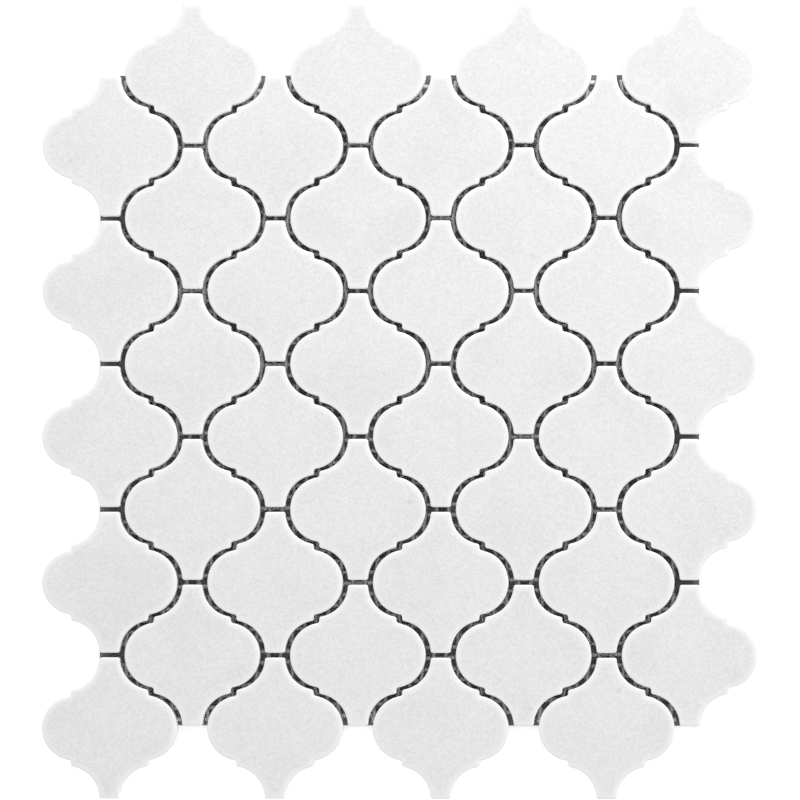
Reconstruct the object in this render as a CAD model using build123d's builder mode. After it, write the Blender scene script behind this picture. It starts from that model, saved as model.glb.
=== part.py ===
"""Lantern marble mosaic sheet: rows of water-jet cut marble tiles on an open glass-fibre mesh."""

import os

from build123d import *

# Lantern tile
tile_width = 51.8
tile_thickness = 9.5
neck_width = 7.6
arc_radius = 12.45
step_height = 2.29
jet_radius = 1.0
corner_radius = 0.8
arris = 0.4

# Joints left open for grout
side_joint = 2.0
end_joint = 1.85
step_joint = 2.2
pinch_joint = 0.82

# Sheet
columns = 8
rows = 5

# Glass-fibre mesh
yarn_thickness = 0.25
weft_width = 1.3
weft_pitch = 4.22
weft_skew = 1.3
warp_width = 2.0
warp_pitch = 4.55
warp_skew = -1.0
warp_offset = -1.1
mesh_margin = 8.8
trim_ratio = 1.25

# Side lobes and steps of the lantern outline, from the middle of the tile
column_pitch = (tile_width + neck_width) / 2 + side_joint
neck_x = neck_width / 2
side_x = tile_width / 2
step_x = (column_pitch - step_joint) / 2
lobe_centre_x = side_x - arc_radius
step_bottom = (arc_radius**2 - (step_x - lobe_centre_x) ** 2) ** 0.5
step_top = step_bottom + step_height
step_middle = (step_bottom + step_top) / 2

# Height that lets a lobe fit between the steps of its neighbours
row_pitch = 2 * (step_bottom + step_top + pinch_joint)
tile_height = row_pitch - end_joint
end_y = tile_height / 2

# Whole sheet
sheet_width = (columns - 1) * column_pitch + tile_width
sheet_height = (rows - 0.5) * row_pitch + tile_height
mesh_thickness = 2 * yarn_thickness


def tile_centre(column, row):
    """Centre of a lattice place, columns counted from the left and rows from the top."""
    x = (column - (columns - 1) / 2) * column_pitch
    y = ((rows - 1) / 2 - row) * row_pitch
    stagger = row_pitch / 4 if column % 2 else -row_pitch / 4
    return (x, y + stagger)


os.makedirs("parts", exist_ok=True)

# One lantern tile, face up on the mesh
with BuildPart() as lantern:
    with BuildSketch(Plane.XY.offset(mesh_thickness)):
        with BuildLine():
            Line((0, end_y), (neck_x, end_y))
            RadiusArc((neck_x, end_y), (step_x, step_top), -arc_radius)
            Line((step_x, step_top), (step_x, step_bottom))
            ThreePointArc((step_x, step_bottom), (side_x, 0), (step_x, -step_bottom))
            Line((step_x, -step_bottom), (step_x, -step_top))
            RadiusArc((step_x, -step_top), (neck_x, -end_y), -arc_radius)
            Line((neck_x, -end_y), (0, -end_y))
            mirror(about=Plane.YZ)
        make_face()
        # The outer corners are eased
        side_corners = vertices().filter_by(lambda corner: abs(corner.X) > neck_x / 2)
        outer_corners = side_corners.filter_by(lambda corner: abs(corner.Y) > step_middle)
        fillet(outer_corners, radius=corner_radius)
        # The cutting jet leaves a round where each side lobe meets its step
        inside_corners = vertices().filter_by(lambda corner: abs(corner.Y) < step_middle)
        fillet(inside_corners, radius=jet_radius)
    extrude(amount=tile_thickness)
    chamfer(faces().sort_by(Axis.Z)[-1].edges(), length=arris)

# The tiles of the sheet
for column in range(columns):
    for row in range(rows):
        with BuildPart() as tile:
            with Locations(tile_centre(column, row)):
                add(lantern.part)
        tile.part.label = f"tile_column_{column + 1}_row_{row + 1}"
        export_step(tile.part, f"parts/{tile.part.label}.step")

# Places around the sheet that the tiles of the next sheets fill
next_places = [
    tile_centre(column, row)
    for column in range(-1, columns + 1)
    for row in range(-1, rows + 1)
    if column in (-1, columns) or row in (-1, rows)
]

# Straight-sided clearance around one such place
with BuildSketch() as next_cell:
    with BuildLine():
        Polyline(
            (trim_ratio * column_pitch, 0),
            (0, trim_ratio * row_pitch / 2),
            (-trim_ratio * column_pitch, 0),
            (0, -trim_ratio * row_pitch / 2),
            close=True,
        )
    make_face()

# What is trimmed off the mesh so that it stays inside the edge tiles
with BuildPart() as trimmings:
    with BuildSketch():
        with Locations(next_places):
            add(next_cell.sketch)
    extrude(amount=mesh_thickness)

# Warp yarns, which run up the sheet and lie lowest
warp_count = int((sheet_width - 2 * mesh_margin) // warp_pitch)
with BuildPart() as warp:
    with BuildSketch(Plane.XY.rotated((0, 0, warp_skew))):
        with Locations((warp_offset, 0)):
            with GridLocations(warp_pitch, 0, warp_count, 1):
                Rectangle(warp_width, sheet_height - 2 * mesh_margin)
    extrude(amount=yarn_thickness)
    add(trimmings.part, mode=Mode.SUBTRACT)
warp.part.label = "mesh_warp_yarns"
export_step(warp.part, "parts/mesh_warp_yarns.step")

# Weft yarns, which run across the sheet between the warp and the tile backs
weft_count = int((sheet_height - 2 * mesh_margin) // weft_pitch)
with BuildPart() as weft:
    with BuildSketch(Plane.XY.offset(yarn_thickness).rotated((0, 0, weft_skew))):
        with GridLocations(0, weft_pitch, 1, weft_count):
            Rectangle(sheet_width - 2 * mesh_margin, weft_width)
    extrude(amount=yarn_thickness)
    add(trimmings.part, mode=Mode.SUBTRACT)
weft.part.label = "mesh_weft_yarns"
export_step(weft.part, "parts/mesh_weft_yarns.step")
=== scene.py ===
"""Looks of a lantern marble mosaic sheet: honed tiles, leno glass-fibre mesh, plain studio."""

import math

import bmesh
import bpy
from bpy.props import FloatProperty, FloatVectorProperty, IntProperty, PointerProperty
from mathutils import Matrix, Vector, noise


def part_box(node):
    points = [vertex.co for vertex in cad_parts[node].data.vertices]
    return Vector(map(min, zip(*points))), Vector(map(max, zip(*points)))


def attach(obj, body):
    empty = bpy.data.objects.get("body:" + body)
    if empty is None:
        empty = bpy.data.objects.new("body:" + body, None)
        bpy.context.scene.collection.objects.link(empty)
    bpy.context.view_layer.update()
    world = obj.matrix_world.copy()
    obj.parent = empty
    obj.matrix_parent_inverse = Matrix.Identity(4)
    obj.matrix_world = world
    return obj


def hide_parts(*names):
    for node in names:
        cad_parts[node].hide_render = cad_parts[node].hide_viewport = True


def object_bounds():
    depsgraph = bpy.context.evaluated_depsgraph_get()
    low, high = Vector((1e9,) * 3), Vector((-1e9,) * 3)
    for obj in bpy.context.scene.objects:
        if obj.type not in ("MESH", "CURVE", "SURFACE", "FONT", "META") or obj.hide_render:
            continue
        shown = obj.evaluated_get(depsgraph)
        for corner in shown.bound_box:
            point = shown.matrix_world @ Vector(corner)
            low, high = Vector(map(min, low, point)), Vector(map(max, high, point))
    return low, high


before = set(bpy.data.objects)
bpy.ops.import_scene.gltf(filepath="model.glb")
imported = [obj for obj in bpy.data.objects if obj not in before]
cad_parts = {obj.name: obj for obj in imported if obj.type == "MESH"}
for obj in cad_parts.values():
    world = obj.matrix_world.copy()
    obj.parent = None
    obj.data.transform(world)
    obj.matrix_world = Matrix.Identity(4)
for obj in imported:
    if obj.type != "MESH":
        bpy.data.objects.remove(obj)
CAD_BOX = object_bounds()

bl_info = {
    "name": "Lantern Marble Mosaic",
    "version": (1, 0, 0),
    "blender": (4, 5, 0),
    "location": "3D View > Sidebar > Mosaic",
    "description": "Dresses a sheet of lantern marble mosaic on its glass-fibre mesh",
    "category": "Object",
}

TILE_NODES = sorted(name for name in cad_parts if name.startswith("tile_"))
WARP_NODE = "mesh_warp_yarns"
WEFT_NODE = "mesh_weft_yarns"


def middle(node):
    """Middle of a CAD node's box."""
    low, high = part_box(node)
    return (low + high) / 2


# Sizes that come from the CAD frame, in metres
TILE_LOW, TILE_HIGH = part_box("tile_column_1_row_1")
TILE_SIZE = TILE_HIGH - TILE_LOW
SHEET_SIZE = CAD_BOX[1] - CAD_BOX[0]
COLUMN_PITCH = (middle("tile_column_2_row_1") - middle("tile_column_1_row_1")).x
ROW_PITCH = (middle("tile_column_1_row_1") - middle("tile_column_1_row_2")).y
MESH_THICKNESS = TILE_LOW.z

# Distance that counts as none
HAIR = 1e-6

# Turn of the outline at an outer corner, and turn at which shading breaks
CORNER_TURN = math.radians(50)
SHADING_TURN = math.radians(35)

# Least upward part of the normal on a level face, on the finished face and on a cut side
LEVEL = 0.9
FACE_LIFT = 0.2
SIDE_LIFT = -0.5

# How far the tiles' places in the slab are scattered, in metres, and the seed of that draw
SLAB_SPREAD = 3.0
SLAB_SEED = 7

# Nicks in the arris: waves of noise to a metre, the noise that starts a nick, how fast it deepens
# from there, and the least weight in the painted edge highlight, which only the arris rings reach
NICK_RATE = 420.0
NICK_START = 0.3
NICK_GAIN = 2.5
NICK_BAND_WEIGHT = 0.9

# Marks to a metre along each axis, on the cut sides and on the sawn backs
JET_MARKS = (1800.0, 1800.0, 130.0)
SAW_MARKS = (90.0, 1400.0, 90.0)

# Waves of fibre noise to a metre: across a yarn, from yarn to yarn, and along a yarn
FILAMENT_RATE = 7000.0
YARN_RATE = 300.0
STREAK_RATE = 110.0

# Yarns: sides of their section, and waves of their wander to a metre
RING_SIDES = 4
WANDER_RATE = 30.0

# Weave: a strand's room in thicknesses, the share of the free height that a warp strand bows into
# between crossings, and the share of its width that a strand loses there or at a crossing
STRAND_ROOM = 1.05
WARP_BOW = 0.5
WARP_PINCH = 0.14
WEFT_PINCH = 0.22

# Stage: thickness of the floor in metres, width of the camera's sensor in millimetres
FLOOR_THICKNESS = 0.02
SENSOR_WIDTH = 36.0


class LanternTileSizes(bpy.types.PropertyGroup):
    """Sizes of one lantern tile."""

    neck_width: FloatProperty(
        name="Neck Width",
        description="Flat end of the lantern",
        default=0.0076,
        unit="LENGTH",
    )
    arc_radius: FloatProperty(
        name="Arc Radius",
        description="Side lobes and hollow necks",
        default=0.01245,
        unit="LENGTH",
    )
    step_height: FloatProperty(
        name="Step Height",
        description="Small step between lobe and neck",
        default=0.00229,
        unit="LENGTH",
    )
    step_joint: FloatProperty(
        name="Step Joint",
        description="Grout joint between two steps",
        default=0.0022,
        unit="LENGTH",
    )
    jet_radius: FloatProperty(
        name="Jet Radius",
        description="Rounding the cutting jet leaves inside corners",
        default=0.001,
        unit="LENGTH",
    )
    corner_radius: FloatProperty(
        name="Corner Radius",
        description="Easing of the outer corners",
        default=0.0008,
        unit="LENGTH",
    )
    arris: FloatProperty(
        name="Arris",
        description="Rounding of the face's edge",
        default=0.0004,
        unit="LENGTH",
    )
    # Width of the eased band, which is also painted paler as a painted highlight along the edge
    highlight_band: FloatProperty(
        name="Highlight Band",
        description="Paler eased band beside the arris",
        default=0.00215,
        unit="LENGTH",
    )
    ease: FloatProperty(
        name="Ease",
        description="How far the band falls to the arris",
        default=0.000125,
        unit="LENGTH",
    )
    chip: FloatProperty(
        name="Chip",
        description="Deepest nick in the arris",
        default=0.00012,
        unit="LENGTH",
    )
    arc_steps: IntProperty(
        name="Arc Steps",
        description="Segments along each hollow neck",
        default=18,
        min=6,
    )
    round_steps: IntProperty(
        name="Round Steps",
        description="Segments across each small rounding",
        default=3,
        min=1,
    )
    rings: IntProperty(
        name="Rings",
        description="Slopes in the eased band",
        default=5,
        min=2,
    )


class BackingMeshSizes(bpy.types.PropertyGroup):
    """Sizes of the leno-woven backing."""

    warp_pitch: FloatProperty(
        name="Warp Pitch",
        description="From one warp pair to the next",
        default=0.00455,
        unit="LENGTH",
    )
    weft_pitch: FloatProperty(
        name="Weft Pitch",
        description="From one weft yarn to the next",
        default=0.00422,
        unit="LENGTH",
    )
    warp_lean: FloatProperty(
        name="Warp Lean",
        description="Turn of the warp from square",
        default=math.radians(-1.0),
        subtype="ANGLE",
    )
    weft_lean: FloatProperty(
        name="Weft Lean",
        description="Turn of the weft from square",
        default=math.radians(1.3),
        subtype="ANGLE",
    )
    warp_offset: FloatProperty(
        name="Warp Offset",
        description="Middle of the warp from the sheet's",
        default=-0.0011,
        unit="LENGTH",
    )
    warp_strand: FloatProperty(
        name="Warp Strand",
        description="Width of one of a warp pair",
        default=0.0019,
        unit="LENGTH",
    )
    warp_spread: FloatProperty(
        name="Warp Spread",
        description="Strand's sway about its pair's line",
        default=0.0003,
        unit="LENGTH",
    )
    weft_strand: FloatProperty(
        name="Weft Strand",
        description="Width of a weft yarn",
        default=0.0019,
        unit="LENGTH",
    )
    strand_thickness: FloatProperty(
        name="Strand Thickness",
        description="Thickness of a flattened strand",
        default=0.00018,
        unit="LENGTH",
    )
    wander: FloatProperty(
        name="Wander",
        description="How far a yarn strays from its line",
        default=0.00022,
        unit="LENGTH",
    )
    margin: FloatProperty(
        name="Margin",
        description="Sheet's edge to the outermost yarns",
        default=0.0088,
        unit="LENGTH",
    )
    trim_ratio: FloatProperty(
        name="Trim Ratio",
        description="Clearance kept around the next sheet's tiles",
        default=1.25,
    )
    steps: IntProperty(
        name="Steps",
        description="Rings from one crossing to the next",
        default=4,
        min=2,
    )


class StageSizes(bpy.types.PropertyGroup):
    """Camera, light and floor."""

    lens_height: FloatProperty(
        name="Lens Height",
        description="Lens above the tile faces",
        default=2.8,
        unit="LENGTH",
    )
    lens_foot: FloatVectorProperty(
        name="Lens Foot",
        description="Point of the sheet that is straight below the lens",
        default=(0.094, -0.054),
        size=2,
        unit="LENGTH",
    )
    view_width: FloatProperty(
        name="View Width",
        description="Width of the view at the tile faces",
        default=0.30588,
        unit="LENGTH",
    )
    view_offset: FloatVectorProperty(
        name="View Offset",
        description="Aim from the middle of the sheet",
        default=(0.00029, 0.00004),
        size=2,
        unit="LENGTH",
    )
    # Painted shade: a dark card hidden under the sheet, seen only through the joints, darkens
    # their bottoms
    shade_card: FloatProperty(
        name="Shade Card",
        description="Thickness of the dark card under the joints",
        default=0.0004,
        unit="LENGTH",
    )
    floor: FloatProperty(
        name="Floor",
        description="Side of the floor",
        default=6.0,
        unit="LENGTH",
    )
    floor_glow: FloatProperty(
        name="Floor Glow",
        description="Light the white sweep adds of itself",
        default=0.35,
    )
    key_place: FloatVectorProperty(
        name="Key Place",
        description="Where the soft box hangs",
        default=(0.45, 0.94, 0.5),
        subtype="TRANSLATION",
    )
    key_size: FloatProperty(
        name="Key Size",
        description="Side of the soft box",
        default=0.8,
        unit="LENGTH",
    )
    key_power: FloatProperty(
        name="Key Power",
        description="Power of the soft box",
        default=10.4,
        unit="POWER",
    )
    sky: FloatProperty(
        name="Sky",
        description="Strength of the even light all round",
        default=0.745,
    )


class MosaicFinish(bpy.types.PropertyGroup):
    """Colours, all linear, and how deep light reaches."""

    stone: FloatVectorProperty(
        name="Stone",
        description="White marble",
        default=(0.80, 0.80, 0.795),
        subtype="COLOR",
    )
    cloud: FloatVectorProperty(
        name="Cloud",
        description="Greyer drifts in the marble",
        default=(0.745, 0.747, 0.745),
        subtype="COLOR",
    )
    cut: FloatVectorProperty(
        name="Cut",
        description="Frosted stone of the cut sides",
        default=(0.97, 0.97, 0.965),
        subtype="COLOR",
    )
    # Painted highlight: paler colour laid on the eased band along each tile's edge, standing in
    # for light on the arris
    edge_highlight: FloatVectorProperty(
        name="Edge Highlight",
        description="Crushed crystal at the edges",
        default=(0.90, 0.90, 0.90),
        subtype="COLOR",
    )
    glow_depth: FloatProperty(
        name="Glow Depth",
        description="How far light seeps through the stone to a cut side",
        default=0.004,
        unit="LENGTH",
    )
    fibre: FloatVectorProperty(
        name="Fibre",
        description="Sized glass fibre",
        default=(0.84, 0.84, 0.82),
        subtype="COLOR",
    )
    floor: FloatVectorProperty(
        name="Floor",
        description="Pale studio floor",
        default=(0.93, 0.93, 0.93),
        subtype="COLOR",
    )
    # Painted shade: colour of the hidden card that darkens the joint bottoms
    shade_card: FloatVectorProperty(
        name="Shade Card",
        description="Dark card under the joints",
        default=(0.19, 0.19, 0.19),
        subtype="COLOR",
    )


class MosaicSettings(bpy.types.PropertyGroup):
    """Everything a user would change."""

    tile: PointerProperty(type=LanternTileSizes)
    backing: PointerProperty(type=BackingMeshSizes)
    stage: PointerProperty(type=StageSizes)
    finish: PointerProperty(type=MosaicFinish)


# Materials


def nodes_of(material):
    """A material's fresh node tree and its Principled shader."""
    material.use_nodes = True
    return material.node_tree, material.node_tree.nodes["Principled BSDF"]


def add_node(tree, kind, inputs=None, **settings):
    """A node with its settings, and its inputs as constants or links."""
    node = tree.nodes.new(kind)
    for name, value in settings.items():
        setattr(node, name, value)
    for name, value in (inputs or {}).items():
        if isinstance(value, bpy.types.NodeSocket):
            tree.links.new(value, node.inputs[name])
        else:
            node.inputs[name].default_value = value
    return node


def group_tree(name, inputs, outputs):
    """An empty shader group with named sockets, and its input and output nodes."""
    tree = bpy.data.node_groups.new(name, "ShaderNodeTree")
    for label, kind in inputs:
        tree.interface.new_socket(label, in_out="INPUT", socket_type=kind)
    for label, kind in outputs:
        tree.interface.new_socket(label, in_out="OUTPUT", socket_type=kind)
    return tree, tree.nodes.new("NodeGroupInput"), tree.nodes.new("NodeGroupOutput")


def marble_body_group():
    """Colour of the stone itself: drifts of grey, fine crystals and a few faint specks."""
    tree, given, made = group_tree(
        "marble_body",
        [
            ("Place", "NodeSocketVector"),
            ("Stone", "NodeSocketColor"),
            ("Cloud", "NodeSocketColor"),
        ],
        [("Colour", "NodeSocketColor"), ("Crystal", "NodeSocketFloat")],
    )
    place = given.outputs["Place"]
    drift = add_node(
        tree,
        "ShaderNodeTexNoise",
        {"Vector": place, "Scale": 38.0, "Detail": 4.0, "Roughness": 0.55, "Distortion": 0.6},
    )
    amount = add_node(
        tree,
        "ShaderNodeMapRange",
        {
            "Value": drift.outputs["Fac"],
            "From Min": 0.42,
            "From Max": 0.78,
            "To Min": 0.0,
            "To Max": 0.75,
        },
        interpolation_type="SMOOTHSTEP",
    )
    body = add_node(
        tree,
        "ShaderNodeMix",
        {0: amount.outputs["Result"], 6: given.outputs["Stone"], 7: given.outputs["Cloud"]},
        data_type="RGBA",
    )
    crystal = add_node(
        tree,
        "ShaderNodeTexVoronoi",
        {"Vector": place, "Scale": 1500.0},
        feature="F1",
    )
    sparkle = add_node(tree, "ShaderNodeSeparateColor", {"Color": crystal.outputs["Color"]})
    grain = add_node(
        tree,
        "ShaderNodeMapRange",
        {"Value": sparkle.outputs["Red"], "To Min": 0.944, "To Max": 1.056},
    )
    speck = add_node(
        tree,
        "ShaderNodeTexNoise",
        {"Vector": place, "Scale": 260.0, "Detail": 2.0},
    )
    dark = add_node(
        tree,
        "ShaderNodeMapRange",
        {
            "Value": speck.outputs["Fac"],
            "From Min": 0.70,
            "From Max": 0.80,
            "To Min": 1.0,
            "To Max": 0.90,
        },
        interpolation_type="SMOOTHSTEP",
    )
    shade = add_node(
        tree,
        "ShaderNodeMath",
        {0: grain.outputs["Result"], 1: dark.outputs["Result"]},
        operation="MULTIPLY",
    )
    toned = add_node(
        tree,
        "ShaderNodeVectorMath",
        {0: body.outputs[2], 1: shade.outputs["Value"]},
        operation="MULTIPLY",
    )
    tree.links.new(toned.outputs["Vector"], made.inputs["Colour"])
    tree.links.new(sparkle.outputs["Green"], made.inputs["Crystal"])
    return tree


def fibre_group():
    """Lighter and darker filaments along a yarn, and their relief, built once for both yarns."""
    name = "fibre_streaks"
    if name in bpy.data.node_groups:
        return bpy.data.node_groups[name]
    tree, given, made = group_tree(
        name,
        [("Run", "NodeSocketVector"), ("Fibre", "NodeSocketColor")],
        [("Colour", "NodeSocketColor"), ("Relief", "NodeSocketFloat")],
    )
    streak = add_node(
        tree,
        "ShaderNodeTexNoise",
        {"Vector": given.outputs["Run"], "Scale": 1.0, "Detail": 2.0, "Roughness": 0.6},
    )
    shade = add_node(
        tree,
        "ShaderNodeMapRange",
        {
            "Value": streak.outputs["Fac"],
            "From Min": 0.3,
            "From Max": 0.7,
            "To Min": 0.9,
            "To Max": 1.08,
        },
    )
    toned = add_node(
        tree,
        "ShaderNodeVectorMath",
        {0: given.outputs["Fibre"], 1: shade.outputs["Result"]},
        operation="MULTIPLY",
    )
    tree.links.new(toned.outputs["Vector"], made.inputs["Colour"])
    tree.links.new(streak.outputs["Fac"], made.inputs["Relief"])
    return tree


def slab_place(tree):
    """Where a point lies in the slab that its tile was cut from."""
    here = add_node(tree, "ShaderNodeTexCoord")
    slab = add_node(tree, "ShaderNodeAttribute", attribute_name="slab")
    place = add_node(
        tree,
        "ShaderNodeVectorMath",
        {0: here.outputs["Object"], 1: slab.outputs["Vector"]},
        operation="ADD",
    )
    return place.outputs["Vector"]


def stone_colour(tree, body, place, stone, cloud):
    """The marble's own colour and crystals at a place."""
    marble = add_node(tree, "ShaderNodeGroup", node_tree=body)
    tree.links.new(place, marble.inputs["Place"])
    marble.inputs["Stone"].default_value = (*stone, 1.0)
    marble.inputs["Cloud"].default_value = (*cloud, 1.0)
    return marble


def honed_marble(body, finish):
    """The finished face: satin, with a painted highlight, a paler colour, along its edge."""
    material = bpy.data.materials.new("honed_marble_face")
    tree, shader = nodes_of(material)
    place = slab_place(tree)
    stone = stone_colour(tree, body, place, finish.stone, finish.cloud)
    # Painted highlight: the band's weight mixes the stone towards the paler colour at the edge
    edge = add_node(tree, "ShaderNodeAttribute", attribute_name="highlight_band")
    highlighted = add_node(
        tree,
        "ShaderNodeMix",
        {0: edge.outputs["Fac"], 6: stone.outputs["Colour"], 7: (*finish.edge_highlight, 1.0)},
        data_type="RGBA",
    )
    rough = add_node(
        tree,
        "ShaderNodeMapRange",
        {"Value": stone.outputs["Crystal"], "To Min": 0.42, "To Max": 0.58},
    )
    relief = add_node(
        tree,
        "ShaderNodeBump",
        {"Height": stone.outputs["Crystal"], "Strength": 0.06, "Distance": 0.0002},
    )
    tree.links.new(highlighted.outputs[2], shader.inputs["Base Color"])
    tree.links.new(rough.outputs["Result"], shader.inputs["Roughness"])
    tree.links.new(relief.outputs["Normal"], shader.inputs["Normal"])
    shader.inputs["Specular IOR Level"].default_value = 0.35
    return material


def cut_marble(name, body, finish, marks, strength):
    """A cut side: the same stone, rough and translucent, with the cutter's marks along it."""
    material = bpy.data.materials.new(name)
    tree, shader = nodes_of(material)
    place = slab_place(tree)
    stone = stone_colour(tree, body, place, finish.cut, finish.stone)
    along = add_node(tree, "ShaderNodeMapping", {"Vector": place, "Scale": marks})
    scored = add_node(
        tree,
        "ShaderNodeTexNoise",
        {"Vector": along.outputs["Vector"], "Scale": 1.0, "Detail": 3.0, "Roughness": 0.65},
    )
    rough = add_node(
        tree,
        "ShaderNodeMapRange",
        {"Value": scored.outputs["Fac"], "To Min": 0.7, "To Max": 0.95},
    )
    relief = add_node(
        tree,
        "ShaderNodeBump",
        {"Height": scored.outputs["Fac"], "Strength": strength, "Distance": 0.0003},
    )
    tree.links.new(stone.outputs["Colour"], shader.inputs["Base Color"])
    tree.links.new(rough.outputs["Result"], shader.inputs["Roughness"])
    tree.links.new(relief.outputs["Normal"], shader.inputs["Normal"])
    shader.inputs["Specular IOR Level"].default_value = 0.3
    shader.inputs["Subsurface Weight"].default_value = 1.0
    shader.inputs["Subsurface Radius"].default_value = (1.0, 1.0, 1.0)
    shader.inputs["Subsurface Scale"].default_value = finish.glow_depth
    return material


def glass_yarn(name, streaks, finish, rates):
    """Sized glass yarn with filaments along its run."""
    material = bpy.data.materials.new(name)
    tree, shader = nodes_of(material)
    here = add_node(tree, "ShaderNodeTexCoord")
    run = add_node(
        tree,
        "ShaderNodeMapping",
        {"Vector": here.outputs["Object"], "Scale": rates},
    )
    section = add_node(tree, "ShaderNodeAttribute", attribute_name="section")
    strand = add_node(
        tree,
        "ShaderNodeVectorMath",
        {0: section.outputs["Vector"], 1: (FILAMENT_RATE,) * 3, 2: run.outputs["Vector"]},
        operation="MULTIPLY_ADD",
    )
    fibre = add_node(tree, "ShaderNodeGroup", node_tree=streaks)
    tree.links.new(strand.outputs["Vector"], fibre.inputs["Run"])
    fibre.inputs["Fibre"].default_value = (*finish.fibre, 1.0)
    relief = add_node(
        tree,
        "ShaderNodeBump",
        {"Height": fibre.outputs["Relief"], "Strength": 0.3, "Distance": 0.0001},
    )
    tree.links.new(fibre.outputs["Colour"], shader.inputs["Base Color"])
    tree.links.new(relief.outputs["Normal"], shader.inputs["Normal"])
    shader.inputs["Roughness"].default_value = 0.55
    return material


def plain_material(name, colour, glow=0.0):
    """A matt material of the stage."""
    material = bpy.data.materials.new(name)
    shader = nodes_of(material)[1]
    shader.inputs["Base Color"].default_value = (*colour, 1.0)
    shader.inputs["Roughness"].default_value = 0.9
    shader.inputs["Specular IOR Level"].default_value = 0.2
    shader.inputs["Emission Color"].default_value = (1.0, 1.0, 1.0, 1.0)
    shader.inputs["Emission Strength"].default_value = glow
    return material


# Lantern tiles


def spin_to(bm, vert, centre, end, steps):
    """Spins a vertex about an upright axis until it reaches end, leaving an arc behind it."""
    start = vert.co - centre
    stop = end - centre
    angle = math.atan2(start.x * stop.y - start.y * stop.x, start.x * stop.x + start.y * stop.y)
    spun = bmesh.ops.spin(bm, geom=[vert], cent=centre, axis=(0, 0, 1), angle=angle, steps=steps)
    return spun["geom_last"][0]


def draw_to(bm, vert, end):
    """Draws a straight edge from a vertex to end."""
    drawn = bmesh.ops.extrude_vert_indiv(bm, verts=[vert])["verts"][0]
    drawn.co = end
    return drawn


def hollow_centre(start, end, radius):
    """Centre of the arc that hollows the neck between two points."""
    chord = end - start
    across = Vector((-chord.y, chord.x, 0.0)).normalized()
    return (start + end) / 2 + across * math.sqrt(radius**2 - chord.length_squared / 4)


def lantern_outline(bm, sizes):
    """Closed outline of one lantern about the origin: its right half, then the mirror of it."""
    side, end = TILE_SIZE.x / 2, TILE_SIZE.y / 2
    radius, jet = sizes.arc_radius, sizes.jet_radius
    step = (COLUMN_PITCH - sizes.step_joint) / 2
    lobe = Vector((side - radius, 0.0, 0.0))
    foot = math.sqrt(radius**2 - (step - lobe.x) ** 2)
    corner = Vector((sizes.neck_width / 2, end, 0.0))
    ledge = Vector((step, foot + sizes.step_height, 0.0))
    hollow = hollow_centre(corner, ledge, radius)
    jet_rise = math.sqrt((radius + jet) ** 2 - (step + jet - lobe.x) ** 2)
    rounding = Vector((step + jet, jet_rise, 0.0))
    leaves_step = Vector((step, rounding.y, 0.0))
    meets_lobe = lobe.lerp(rounding, radius / (radius + jet))
    flip = Matrix.Scale(-1.0, 3, (0.0, 1.0, 0.0))

    vert = bm.verts.new((0.0, end, 0.0))
    vert = draw_to(bm, vert, corner)
    vert = spin_to(bm, vert, hollow, ledge, sizes.arc_steps)
    vert = draw_to(bm, vert, leaves_step)
    vert = spin_to(bm, vert, rounding, meets_lobe, sizes.round_steps)
    vert = spin_to(bm, vert, lobe, flip @ meets_lobe, 2 * sizes.arc_steps)
    vert = spin_to(bm, vert, flip @ rounding, flip @ leaves_step, sizes.round_steps)
    vert = draw_to(bm, vert, flip @ ledge)
    vert = spin_to(bm, vert, flip @ hollow, flip @ corner, sizes.arc_steps)
    draw_to(bm, vert, Vector((0.0, -end, 0.0)))
    half = bm.verts[:] + bm.edges[:]
    bmesh.ops.mirror(bm, geom=half, matrix=Matrix.Identity(4), merge_dist=0.0, axis="X")
    bmesh.ops.remove_doubles(bm, verts=bm.verts, dist=HAIR)


def ease_corners(bm, sizes):
    """Rounds the outer corners of the outline, where it turns sharply."""
    sharp = [v for v in bm.verts if v.calc_edge_angle() > CORNER_TURN]
    bmesh.ops.bevel(
        bm,
        geom=sharp,
        offset=sizes.corner_radius,
        offset_type="OFFSET",
        affect="VERTICES",
        segments=sizes.round_steps,
        profile=0.5,
        material=-1,
    )


def largest_up(bm):
    """The tile's flat face."""
    return max((f for f in bm.faces if f.normal.z > LEVEL), key=lambda f: f.calc_area())


def ease_edge(bm, sizes):
    """Rounds the arris, then eases the face up from it, noting each ring's weight in the painted
    edge highlight.
    """
    highlight_band = bm.verts.layers.float["highlight_band"]
    bmesh.ops.bevel(
        bm,
        geom=largest_up(bm).edges[:],
        offset=sizes.arris,
        offset_type="OFFSET",
        affect="EDGES",
        segments=sizes.round_steps,
        profile=0.5,
        material=-1,
    )
    arris_foot = TILE_HIGH.z - sizes.ease - sizes.arris
    # The arris rings take the full weight of the painted highlight
    for vert in bm.verts:
        if vert.co.z > arris_foot - HAIR:
            vert[highlight_band] = 1.0
    # Each slope is flatter than the one outside it
    width = sizes.highlight_band / sizes.rings
    for left in reversed(range(sizes.rings)):
        rise = sizes.ease * (2 * left + 1) / sizes.rings**2
        face = [largest_up(bm)]
        bmesh.ops.inset_region(bm, faces=face, thickness=width, depth=rise, use_even_offset=True)
        bmesh.ops.remove_doubles(bm, verts=largest_up(bm).verts, dist=width)
        for vert in largest_up(bm).verts:
            vert[highlight_band] = left / sizes.rings


def nick_arris(bm, sizes, slab):
    """Presses small nicks into the arris where the slab's noise says that the stone was weak."""
    highlight_band = bm.verts.layers.float["highlight_band"]
    bm.normal_update()
    for vert in bm.verts:
        weak = noise.noise((vert.co + slab) * NICK_RATE) - NICK_START
        if vert[highlight_band] > NICK_BAND_WEIGHT and weak > 0.0:
            vert.co -= vert.normal * sizes.chip * min(1.0, NICK_GAIN * weak)


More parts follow.
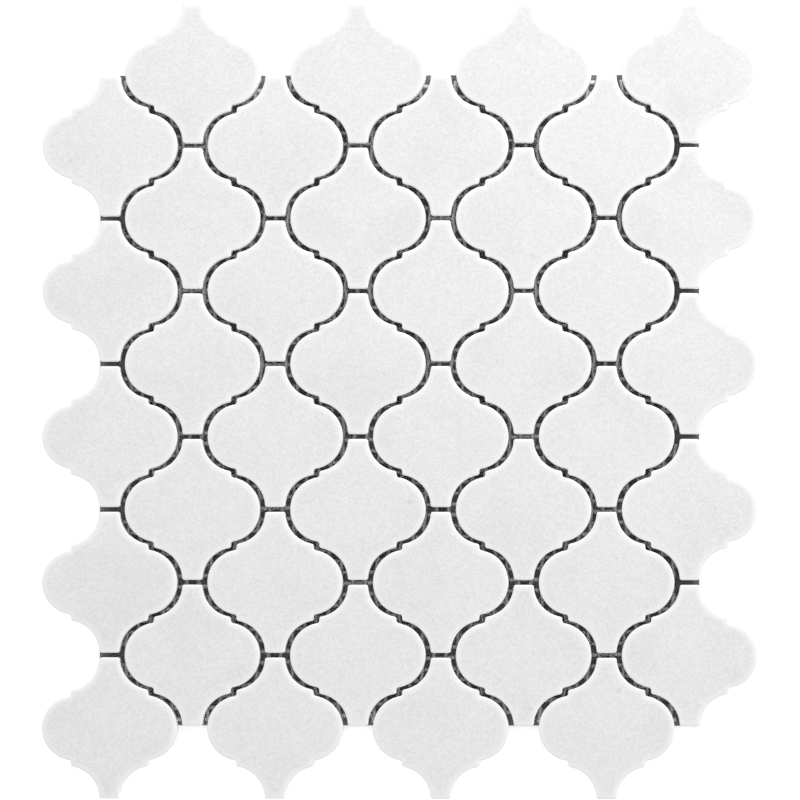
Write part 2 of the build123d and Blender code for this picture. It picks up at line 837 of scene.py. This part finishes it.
def build_tile(node, sizes, materials):
    """One tile at its CAD node's place."""
    place = middle(node)
    slab = noise.random_vector() * SLAB_SPREAD
    bm = bmesh.new()
    bm.verts.layers.float.new("highlight_band")
    cut_from = bm.verts.layers.float_vector.new("slab")
    lantern_outline(bm, sizes)
    bmesh.ops.contextual_create(bm, geom=bm.edges[:])
    ease_corners(bm, sizes)
    sole = bm.faces[:]
    raised = bmesh.ops.extrude_face_region(bm, geom=sole)["geom"]
    top = [item for item in raised if isinstance(item, bmesh.types.BMVert)]
    bmesh.ops.translate(bm, verts=top, vec=(0.0, 0.0, TILE_SIZE.z - sizes.ease))
    bmesh.ops.recalc_face_normals(bm, faces=bm.faces)
    bmesh.ops.translate(bm, verts=bm.verts, vec=(place.x, place.y, TILE_LOW.z))
    ease_edge(bm, sizes)
    for vert in bm.verts:
        vert[cut_from] = slab
    nick_arris(bm, sizes, slab)
    # The materials come as face, side and back
    for part in bm.faces:
        part.smooth = True
        lift = part.normal.z
        part.material_index = 0 if lift > FACE_LIFT else 1 if lift > SIDE_LIFT else 2

    piece = new_piece(node.replace("tile", "marble"), bm, materials)
    piece.data.set_sharp_from_angle(angle=SHADING_TURN)
    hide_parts(node)


def new_piece(name, bm, materials):
    """Makes a bmesh into a piece that rides with the sheet."""
    mesh = bpy.data.meshes.new(name)
    bm.to_mesh(mesh)
    bm.free()
    for material in materials:
        mesh.materials.append(material)
    piece = bpy.data.objects.new(name, mesh)
    bpy.context.scene.collection.objects.link(piece)
    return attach(piece, "root")


# Backing mesh


def next_places():
    """Lattice places around the sheet, which the next sheets' tiles fill."""
    tiles = [middle(node) for node in TILE_NODES]
    ways = ((1, 1), (1, -1), (-1, 1), (-1, -1), (0, 2), (0, -2))
    shifts = [Vector((right * COLUMN_PITCH, up * ROW_PITCH / 2, 0.0)) for right, up in ways]
    around = [tile + shift for tile in tiles for shift in shifts]
    free = [spot for spot in around if min((spot - t).length for t in tiles) > COLUMN_PITCH / 2]
    return {(round(spot.x, 4), round(spot.y, 4)) for spot in free}


def trimmed_off(spot, places, ratio):
    """True where the mesh would reach into a place that the next sheet needs."""
    return any(
        abs(spot.x - x) / COLUMN_PITCH + abs(spot.y - y) / (ROW_PITCH / 2) < ratio
        for x, y in places
    )


def lay_of(sizes):
    """Turns the square weave into the slightly racked one that was laid."""
    weft, warp = sizes.weft_lean, sizes.warp_lean
    return Matrix(
        (
            (math.cos(weft), -math.sin(warp), 0.0),
            (math.sin(weft), math.cos(warp), 0.0),
            (0.0, 0.0, 1.0),
        )
    )


def draw_yarn(path, widths, thickness):
    """One flat yarn along Y: a ring extruded along its path, each point noting its place in it."""
    bm = bmesh.new()
    section = bm.verts.layers.float_vector.new("section")
    facing = Matrix.Rotation(math.pi / 2, 4, "X")
    circle = bmesh.ops.create_circle(bm, segments=RING_SIDES, radius=0.5, matrix=facing)
    ring = circle["verts"]
    bmesh.ops.scale(bm, vec=(widths[0], 1.0, thickness), verts=ring)
    bmesh.ops.translate(bm, vec=path[0], verts=ring)
    edges = bm.edges[:]
    for vert in ring:
        vert[section] = vert.co - path[0]
    for here, there, before, after in zip(path, path[1:], widths, widths[1:]):
        grown = bmesh.ops.extrude_edge_only(bm, edges=edges)["geom"]
        ring = [item for item in grown if isinstance(item, bmesh.types.BMVert)]
        sides = [item for item in grown if isinstance(item, bmesh.types.BMEdge)]
        edges = [edge for edge in sides if all(vert in ring for vert in edge.verts)]
        middle_here = Matrix.Translation(-here)
        bmesh.ops.scale(bm, vec=(after / before, 1.0, 1.0), space=middle_here, verts=ring)
        bmesh.ops.translate(bm, vec=there - here, verts=ring)
        for vert in ring:
            vert[section] = vert.co - there
    return bm


def side_by_side(name, yarn, pitch, count, offset):
    """A bmesh of like yarns, a pitch apart across X and centred on the offset."""
    bmesh.ops.translate(yarn, vec=(offset - (count - 1) / 2 * pitch, 0.0, 0.0), verts=yarn.verts)
    single = bpy.data.meshes.new(name)
    yarn.to_mesh(single)
    yarn.free()
    pattern = bpy.data.objects.new(name + "_pattern", single)
    bpy.context.scene.collection.objects.link(pattern)
    beside = pattern.modifiers.new("beside", "ARRAY")
    beside.use_relative_offset = False
    beside.use_constant_offset = True
    beside.constant_offset_displace = (pitch, 0.0, 0.0)
    beside.count = count
    shown = pattern.evaluated_get(bpy.context.evaluated_depsgraph_get())
    whole = bpy.data.meshes.new_from_object(shown)
    bpy.data.objects.remove(pattern)
    bm = bmesh.new()
    bm.from_mesh(whole)
    return bm


def lay_yarns(name, bm, lay, sizes, node, material):
    """Lays yarns with a little wander, and trims them clear of the next sheet's tiles."""
    section = bm.verts.layers.float_vector["section"]
    bmesh.ops.transform(bm, matrix=lay.to_4x4(), verts=bm.verts)
    places = next_places()
    gone = [v for v in bm.verts if trimmed_off(v.co - lay @ v[section], places, sizes.trim_ratio)]
    bmesh.ops.delete(bm, geom=gone, context="VERTS")
    bmesh.ops.delete(bm, geom=[v for v in bm.verts if not v.link_faces], context="VERTS")
    bmesh.ops.holes_fill(bm, edges=bm.edges, sides=RING_SIDES)
    bmesh.ops.recalc_face_normals(bm, faces=bm.faces)
    for vert in bm.verts:
        drift = noise.noise_vector((vert.co - lay @ vert[section]) * WANDER_RATE) * sizes.wander
        vert.co += Vector((drift.x, drift.y, 0.0))
    for part in bm.faces:
        part.smooth = True
    piece = new_piece(name, bm, [material])
    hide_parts(node)


def yarn_counts(sizes):
    """Number of warp pairs and weft yarns in the sheet."""
    warps = int((SHEET_SIZE.x - 2 * sizes.margin) // sizes.warp_pitch)
    wefts = int((SHEET_SIZE.y - 2 * sizes.margin) // sizes.weft_pitch)
    return warps, wefts


def build_warp(sizes, finish, streaks):
    """The warp: two strands to each yarn, one always under the weft and one always over it."""
    warps, wefts = yarn_counts(sizes)
    material = glass_yarn("glass_warp_yarn", streaks, finish, (YARN_RATE, STREAK_RATE, 0.0))
    steps = sizes.steps
    start = -(wefts - 1) / 2
    thin = sizes.strand_thickness
    bow = WARP_BOW * (MESH_THICKNESS / 2 - STRAND_ROOM * thin)
    for name, sway, low in (
        ("mesh_ground_strands", 1.0, True),
        ("mesh_crossing_strands", -1.0, False),
    ):
        path, widths = [], []
        for index in range(-steps // 2, (wefts - 1) * steps + steps // 2 + 1):
            turn = math.pi * index / steps
            across = sway * sizes.warp_spread * math.cos(turn)
            along = (start + index / steps) * sizes.weft_pitch
            rise = bow * math.sin(turn) ** 2
            height = thin / 2 + rise if low else MESH_THICKNESS - thin / 2 - rise
            path.append(Vector((across, along, height)))
            widths.append(sizes.warp_strand * (1.0 - WARP_PINCH * math.sin(turn) ** 2))
        yarn = draw_yarn(path, widths, thin)
        strands = side_by_side(name, yarn, sizes.warp_pitch, warps, sizes.warp_offset)
        lay_yarns(name, strands, lay_of(sizes), sizes, WARP_NODE, material)


def build_weft(sizes, finish, streaks):
    """The weft: single flat yarns, pinched where each warp pair clamps them."""
    warps, wefts = yarn_counts(sizes)
    material = glass_yarn("glass_weft_yarn", streaks, finish, (STREAK_RATE, YARN_RATE, 0.0))
    steps = sizes.steps
    start = -(warps - 1) / 2
    path, widths = [], []
    for index in range(-steps // 2, (warps - 1) * steps + steps // 2 + 1):
        turn = math.pi * index / steps
        along = (start + index / steps) * sizes.warp_pitch + sizes.warp_offset
        path.append(Vector((0.0, along, MESH_THICKNESS / 2)))
        widths.append(sizes.weft_strand * (1.0 - WEFT_PINCH * math.cos(turn) ** 2))
    name = "mesh_weft_strands"
    yarn = draw_yarn(path, widths, sizes.strand_thickness)
    strands = side_by_side(name, yarn, sizes.weft_pitch, wefts, 0.0)
    lay = lay_of(sizes) @ Matrix.Rotation(-math.pi / 2, 3, "Z")
    lay_yarns(name, strands, lay, sizes, WEFT_NODE, material)


# Stage


def flat_slab(name, top, size, thickness, material):
    """A flat rectangular slab of the stage, placed by the middle of its top."""
    bm = bmesh.new()
    bmesh.ops.create_cube(bm, size=1.0)
    bmesh.ops.scale(bm, vec=(size.x, size.y, thickness), verts=bm.verts)
    bmesh.ops.translate(bm, vec=(top.x, top.y, top.z - thickness / 2), verts=bm.verts)
    mesh = bpy.data.meshes.new(name)
    bm.to_mesh(mesh)
    bm.free()
    mesh.materials.append(material)
    slab = bpy.data.objects.new(name, mesh)
    bpy.context.scene.collection.objects.link(slab)


def soft_light(name, place, size, power):
    """A square soft box aimed at the sheet."""
    lamp = bpy.data.lights.new(name, "AREA")
    lamp.shape = "SQUARE"
    lamp.size = size
    lamp.energy = power
    light = bpy.data.objects.new(name, lamp)
    light.location = place
    light.rotation_euler = (-Vector(place)).to_track_quat("-Z", "Y").to_euler()
    bpy.context.scene.collection.objects.link(light)


def set_camera(sizes):
    """A camera above the sheet, a little off its middle and turned towards it."""
    scene = bpy.context.scene
    down = Vector((0.0, 0.0, -1.0))
    lens = Vector((*sizes.lens_foot, TILE_HIGH.z + sizes.lens_height))
    sight = Vector((*sizes.view_offset, TILE_HIGH.z)) - lens
    camera = bpy.data.cameras.new("camera")
    camera.sensor_width = SENSOR_WIDTH
    camera.lens = SENSOR_WIDTH * sight.length / sizes.view_width
    camera.clip_start, camera.clip_end = 0.05, 20.0
    eye = bpy.data.objects.new("camera", camera)
    eye.location = lens
    eye.rotation_euler = down.rotation_difference(sight).to_euler()
    scene.collection.objects.link(eye)
    scene.camera = eye


def build_stage(sizes, tile, finish):
    """Pale floor, a dark card hidden under the sheet as painted shade in the joints, a soft box,
    an even sky, and a camera.
    """
    scene = bpy.context.scene
    pale = plain_material("pale_floor", finish.floor, glow=sizes.floor_glow)
    dark = plain_material("joint_shade_card", finish.shade_card)
    floor_top = Vector((0.0, 0.0, -sizes.shade_card))
    flat_slab("floor", floor_top, Vector((sizes.floor, sizes.floor)), FLOOR_THICKNESS, pale)
    # Painted shade: as the lens sees it, the card ends with the necks along the rim, so it shows
    # only through the joints
    inside = Vector((SHEET_SIZE.x - TILE_SIZE.x + tile.neck_width, SHEET_SIZE.y - ROW_PITCH))
    widening = (sizes.lens_height + TILE_HIGH.z) / sizes.lens_height
    shade_card_top = Vector((*sizes.lens_foot, 0.0)) * (1.0 - widening)
    shade_card_size = inside * widening - Vector((tile.arris, tile.arris))
    flat_slab("shade_card", shade_card_top, shade_card_size, sizes.shade_card, dark)

    soft_light("key", sizes.key_place, sizes.key_size, sizes.key_power)
    world = bpy.data.worlds.new("studio_sky")
    world.use_nodes = True
    sky = world.node_tree.nodes["Background"]
    sky.inputs["Color"].default_value = (1.0, 1.0, 1.0, 1.0)
    sky.inputs["Strength"].default_value = sizes.sky
    scene.world = world
    scene.view_settings.view_transform = "Standard"
    set_camera(sizes)


# Operators


class MOSAIC_OT_marble_tiles(bpy.types.Operator):
    """Cut the lantern tiles from their slabs and set them on the mesh"""

    bl_idname = "mosaic.marble_tiles"
    bl_label = "Marble Tiles"

    def execute(self, context):
        settings = context.scene.mosaic
        body = marble_body_group()
        materials = [
            honed_marble(body, settings.finish),
            cut_marble("jet_cut_marble_side", body, settings.finish, JET_MARKS, strength=0.5),
            cut_marble("sawn_marble_back", body, settings.finish, SAW_MARKS, strength=0.35),
        ]
        noise.seed_set(SLAB_SEED)
        for node in TILE_NODES:
            build_tile(node, settings.tile, materials)
        return {"FINISHED"}


class MOSAIC_OT_warp_yarns(bpy.types.Operator):
    """Lay the pairs of warp strands up the back of the sheet"""

    bl_idname = "mosaic.warp_yarns"
    bl_label = "Warp Yarns"

    def execute(self, context):
        settings = context.scene.mosaic
        build_warp(settings.backing, settings.finish, fibre_group())
        return {"FINISHED"}


class MOSAIC_OT_weft_yarns(bpy.types.Operator):
    """Lay the weft yarns across the back of the sheet"""

    bl_idname = "mosaic.weft_yarns"
    bl_label = "Weft Yarns"

    def execute(self, context):
        settings = context.scene.mosaic
        build_weft(settings.backing, settings.finish, fibre_group())
        return {"FINISHED"}


class MOSAIC_OT_stage(bpy.types.Operator):
    """Set the floor, the dark card of painted shade under the joints, the light and the camera"""

    bl_idname = "mosaic.stage"
    bl_label = "Stage"

    def execute(self, context):
        settings = context.scene.mosaic
        build_stage(settings.stage, settings.tile, settings.finish)
        return {"FINISHED"}


class VIEW3D_PT_mosaic(bpy.types.Panel):
    """Lists the pieces of the mosaic and their sizes"""

    bl_label = "Lantern Marble Mosaic"
    bl_space_type = "VIEW_3D"
    bl_region_type = "UI"
    bl_category = "Mosaic"

    def draw(self, context):
        settings = context.scene.mosaic
        for operator in OPERATORS:
            self.layout.operator(operator.bl_idname)
        for group in (settings.tile, settings.backing, settings.stage, settings.finish):
            box = self.layout.box()
            for name in group.bl_rna.properties.keys():
                if name not in ("rna_type", "name"):
                    box.prop(group, name)


OPERATORS = (
    MOSAIC_OT_marble_tiles,
    MOSAIC_OT_warp_yarns,
    MOSAIC_OT_weft_yarns,
    MOSAIC_OT_stage,
)
CLASSES = (
    LanternTileSizes,
    BackingMeshSizes,
    StageSizes,
    MosaicFinish,
    MosaicSettings,
    *OPERATORS,
    VIEW3D_PT_mosaic,
)


def register():
    for cls in CLASSES:
        bpy.utils.register_class(cls)
    bpy.types.Scene.mosaic = PointerProperty(type=MosaicSettings)


def unregister():
    del bpy.types.Scene.mosaic
    for cls in reversed(CLASSES):
        bpy.utils.unregister_class(cls)


def main():
    """Builds every piece, then the stage."""
    register()
    bpy.ops.mosaic.marble_tiles()
    bpy.ops.mosaic.warp_yarns()
    bpy.ops.mosaic.weft_yarns()
    bpy.ops.mosaic.stage()


if __name__ == "__main__":
    main()
